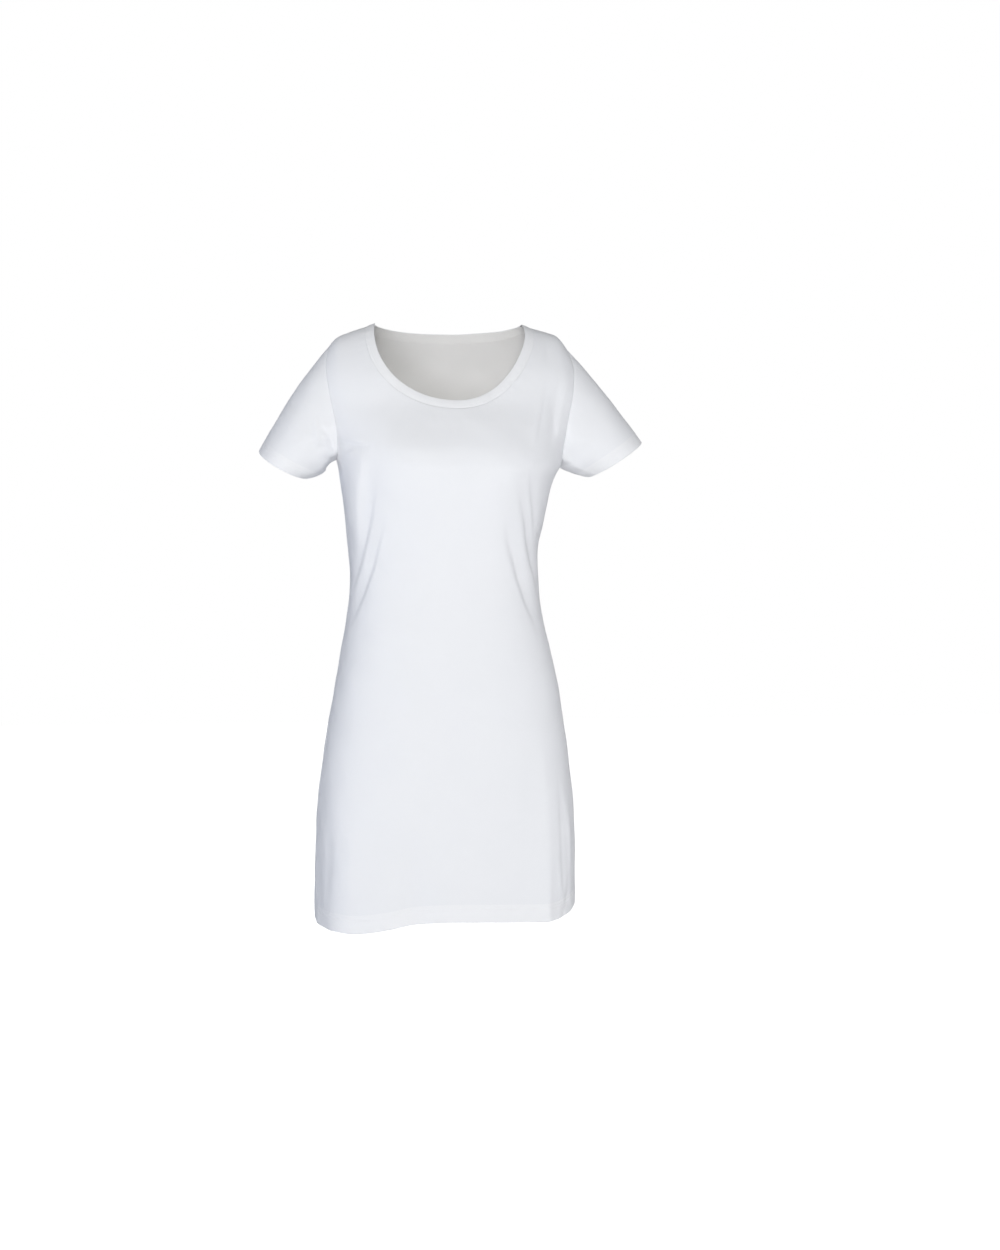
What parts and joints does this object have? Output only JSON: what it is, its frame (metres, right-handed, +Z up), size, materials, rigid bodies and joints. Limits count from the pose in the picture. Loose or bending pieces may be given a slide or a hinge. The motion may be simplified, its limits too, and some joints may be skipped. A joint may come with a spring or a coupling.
{
  "type": "t-shirt dress",
  "caption": "Short-sleeved white jersey t-shirt dress with a scooped neckline, hollow and shaped as worn, open at neck, cuffs and hem.",
  "frame": {"origin": "midway between the two points where the neckline meets the shoulder seams, where the wearer's shoulders hold the dress", "axes": "+Z up, +X towards the wearer's left, -Y the front of the dress"},
  "size_m": [0.5606, 0.2433, 0.8678],
  "materials": {
    "jersey": "matt white single jersey, fine knit",
    "band_jersey": "the same matt white jersey, folded double"
  },
  "bodies": {
    "root": {"front_panel": "jersey", "back_panel": "jersey", "sleeve_right": "jersey", "sleeve_left": "jersey", "neckband": "band_jersey"}
  },
  "joints": []
}
